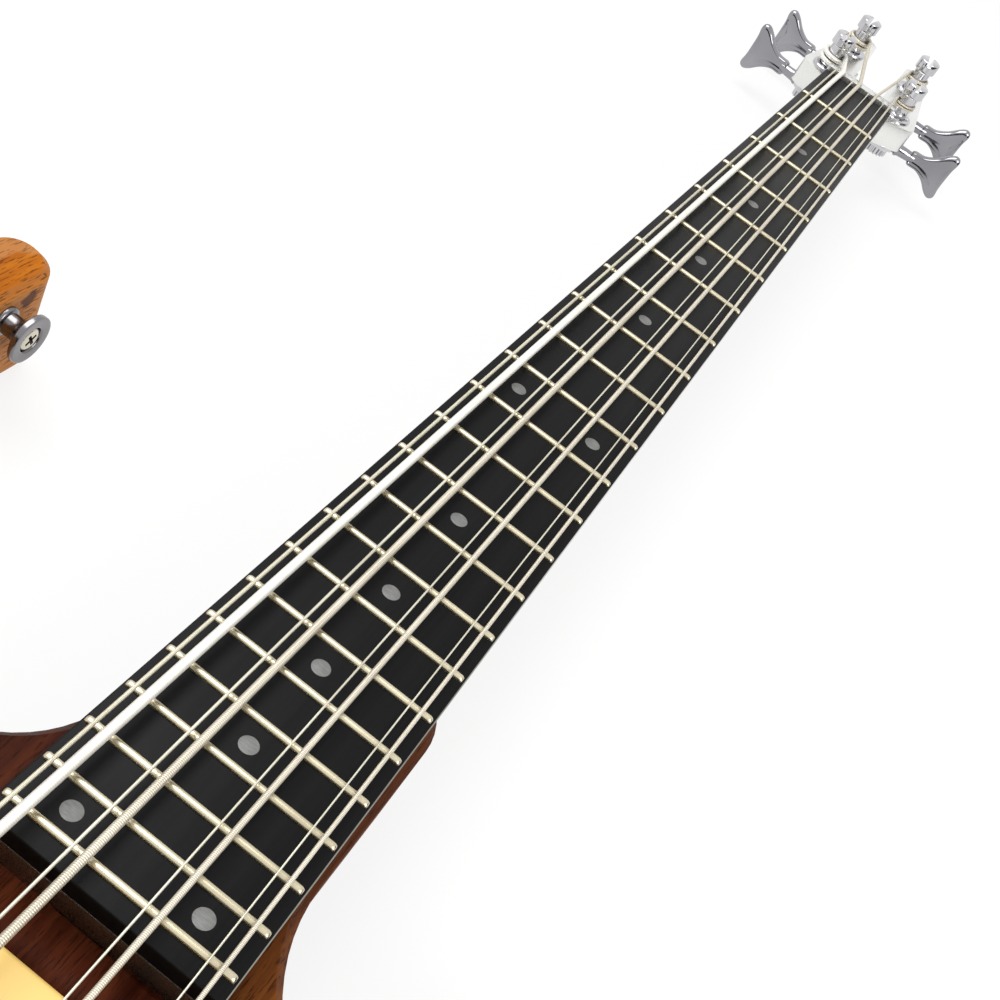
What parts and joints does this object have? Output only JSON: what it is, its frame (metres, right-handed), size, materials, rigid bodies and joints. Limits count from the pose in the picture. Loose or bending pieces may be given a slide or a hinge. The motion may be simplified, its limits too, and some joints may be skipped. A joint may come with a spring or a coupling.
{
  "type": "electric bass guitar",
  "caption": "Electric bass guitar with paired octave strings, a metal-backed neck with wood inserts, a forked headstock, a two-horned wood body and tuners at both ends.",
  "frame": {"origin": "on the flat back of the body, under the line where the strings leave the saddles", "axes": "+X along the strings towards the tail, +Y towards the treble side, +Z from the back towards the strings"},
  "size_m": [1.116, 0.373, 0.0645],
  "materials": {
    "body_wood": "oiled, open grain",
    "neck_wood": "satin",
    "neck_metal": "brushed",
    "fingerboard_black": "satin",
    "fret_metal": "polished",
    "dot_metal": "brushed",
    "string_steel": "bright",
    "chrome_plate": "polished",
    "bridge_brass": "satin",
    "pickup_cream": "gloss",
    "control_dark": "matte",
    "knob_metal": "satin",
    "cover_black": "matte"
  },
  "bodies": {
    "instrument": {"body": "body_wood", "neck_beam": "neck_metal", "neck_insert_bass": "neck_wood", "neck_insert_treble": "neck_wood", "fingerboard": "fingerboard_black", "frets": "fret_metal", "position_dots": "dot_metal", "nut": "neck_metal", "octave_anchor": "neck_metal", "neck_plate": "chrome_plate", "neck_bolts": "chrome_plate", "tuner_brackets": "chrome_plate", "tuner_bushings": "chrome_plate", "octave_brackets": "chrome_plate", "bridge_base": "bridge_brass", "saddles": "bridge_brass", "pickup_cover_front": "pickup_cream", "pickup_cover_rear": "pickup_cream", "pickup_coils": "control_dark", "potentiometers": "control_dark", "selector_body": "control_dark", "output_jack": "chrome_plate", "control_cover": "cover_black", "strap_buttons": "chrome_plate", "string_e": "string_steel", "string_e_octave": "string_steel", "string_a": "string_steel", "string_a_octave": "string_steel", "string_d": "string_steel", "string_d_octave": "string_steel", "string_g": "string_steel", "string_g_octave": "string_steel"},
    "tuner_key_e": {"tuner_key_e": "chrome_plate"},
    "tuner_post_e": {"tuner_post_e": "chrome_plate"},
    "tuner_key_a": {"tuner_key_a": "chrome_plate"},
    "tuner_post_a": {"tuner_post_a": "chrome_plate"},
    "tuner_key_d": {"tuner_key_d": "chrome_plate"},
    "tuner_post_d": {"tuner_post_d": "chrome_plate"},
    "tuner_key_g": {"tuner_key_g": "chrome_plate"},
    "tuner_post_g": {"tuner_post_g": "chrome_plate"},
    "octave_key_e": {"octave_key_e": "chrome_plate"},
    "octave_post_e": {"octave_post_e": "chrome_plate"},
    "octave_key_a": {"octave_key_a": "chrome_plate"},
    "octave_post_a": {"octave_post_a": "chrome_plate"},
    "octave_key_d": {"octave_key_d": "chrome_plate"},
    "octave_post_d": {"octave_post_d": "chrome_plate"},
    "octave_key_g": {"octave_key_g": "chrome_plate"},
    "octave_post_g": {"octave_post_g": "chrome_plate"},
    "knob_volume": {"knob_volume": "knob_metal"},
    "knob_blend": {"knob_blend": "knob_metal"},
    "knob_tone": {"knob_tone": "knob_metal"},
    "selector_lever": {"selector_lever": "chrome_plate"}
  },
  "joints": [
    {"name": "tuner_key_e_turn", "type": "hinge", "parent": "instrument", "child": "tuner_key_e", "pos_m": [-0.90399, -0.0224, 0.0242], "axis": [-0.1392, -0.9903, 0], "continuous": true},
    {"name": "tuner_post_e_turn", "type": "hinge", "parent": "instrument", "child": "tuner_post_e", "pos_m": [-0.8926, -0.024, 0.0295], "axis": [0, 0, 1], "continuous": true},
    {"name": "tuner_key_a_turn", "type": "hinge", "parent": "instrument", "child": "tuner_key_a", "pos_m": [-0.95199, -0.0189, 0.0242], "axis": [-0.1392, -0.9903, 0], "continuous": true},
    {"name": "tuner_post_a_turn", "type": "hinge", "parent": "instrument", "child": "tuner_post_a", "pos_m": [-0.9406, -0.0205, 0.0295], "axis": [0, 0, 1], "continuous": true},
    {"name": "tuner_key_d_turn", "type": "hinge", "parent": "instrument", "child": "tuner_key_d", "pos_m": [-0.95199, 0.0189, 0.0242], "axis": [-0.1392, 0.9903, 0], "continuous": true},
    {"name": "tuner_post_d_turn", "type": "hinge", "parent": "instrument", "child": "tuner_post_d", "pos_m": [-0.9406, 0.0205, 0.0295], "axis": [0, 0, 1], "continuous": true},
    {"name": "tuner_key_g_turn", "type": "hinge", "parent": "instrument", "child": "tuner_key_g", "pos_m": [-0.90399, 0.0224, 0.0242], "axis": [-0.1392, 0.9903, 0], "continuous": true},
    {"name": "tuner_post_g_turn", "type": "hinge", "parent": "instrument", "child": "tuner_post_g", "pos_m": [-0.8926, 0.024, 0.0295], "axis": [0, 0, 1], "continuous": true},
    {"name": "octave_key_e_turn", "type": "hinge", "parent": "instrument", "child": "octave_key_e", "pos_m": [0.0934, -0.0511, 0.02195], "axis": [1, 0, 0], "continuous": true},
    {"name": "octave_post_e_turn", "type": "hinge", "parent": "instrument", "child": "octave_post_e", "pos_m": [0.0934, -0.0426, 0.026], "axis": [0, 0, 1], "continuous": true},
    {"name": "octave_key_a_turn", "type": "hinge", "parent": "instrument", "child": "octave_key_a", "pos_m": [0.0934, -0.0255, 0.02195], "axis": [1, 0, 0], "continuous": true},
    {"name": "octave_post_a_turn", "type": "hinge", "parent": "instrument", "child": "octave_post_a", "pos_m": [0.0934, -0.017, 0.026], "axis": [0, 0, 1], "continuous": true},
    {"name": "octave_key_d_turn", "type": "hinge", "parent": "instrument", "child": "octave_key_d", "pos_m": [0.0934, 0.0255, 0.02195], "axis": [1, 0, 0], "continuous": true},
    {"name": "octave_post_d_turn", "type": "hinge", "parent": "instrument", "child": "octave_post_d", "pos_m": [0.0934, 0.017, 0.026], "axis": [0, 0, 1], "continuous": true},
    {"name": "octave_key_g_turn", "type": "hinge", "parent": "instrument", "child": "octave_key_g", "pos_m": [0.0934, 0.0511, 0.02195], "axis": [1, 0, 0], "continuous": true},
    {"name": "octave_post_g_turn", "type": "hinge", "parent": "instrument", "child": "octave_post_g", "pos_m": [0.0934, 0.0426, 0.026], "axis": [0, 0, 1], "continuous": true},
    {"name": "knob_volume_turn", "type": "hinge", "parent": "instrument", "child": "knob_volume", "pos_m": [-0.02551, 0.096, 0.0426], "axis": [0, 0, 1], "range_deg": [-140, 140]},
    {"name": "knob_blend_turn", "type": "hinge", "parent": "instrument", "child": "knob_blend", "pos_m": [0.0085, 0.104, 0.0426], "axis": [0, 0, 1], "range_deg": [-140, 140]},
    {"name": "knob_tone_turn", "type": "hinge", "parent": "instrument", "child": "knob_tone", "pos_m": [0.04252, 0.112, 0.0426], "axis": [0, 0, 1], "range_deg": [-140, 140]},
    {"name": "selector_tilt", "type": "hinge", "parent": "instrument", "child": "selector_lever", "pos_m": [0.01787, 0.126, 0.037], "axis": [0, 1, 0], "range_deg": [-13, 13]}
  ],
  "couplings": [
    {"joint": "tuner_post_e_turn", "follows": "tuner_key_e_turn", "ratio": 0.05},
    {"joint": "tuner_post_a_turn", "follows": "tuner_key_a_turn", "ratio": 0.05},
    {"joint": "tuner_post_d_turn", "follows": "tuner_key_d_turn", "ratio": -0.05},
    {"joint": "tuner_post_g_turn", "follows": "tuner_key_g_turn", "ratio": -0.05},
    {"joint": "octave_post_e_turn", "follows": "octave_key_e_turn", "ratio": -0.0625},
    {"joint": "octave_post_a_turn", "follows": "octave_key_a_turn", "ratio": -0.0625},
    {"joint": "octave_post_d_turn", "follows": "octave_key_d_turn", "ratio": 0.0625},
    {"joint": "octave_post_g_turn", "follows": "octave_key_g_turn", "ratio": 0.0625}
  ]
}
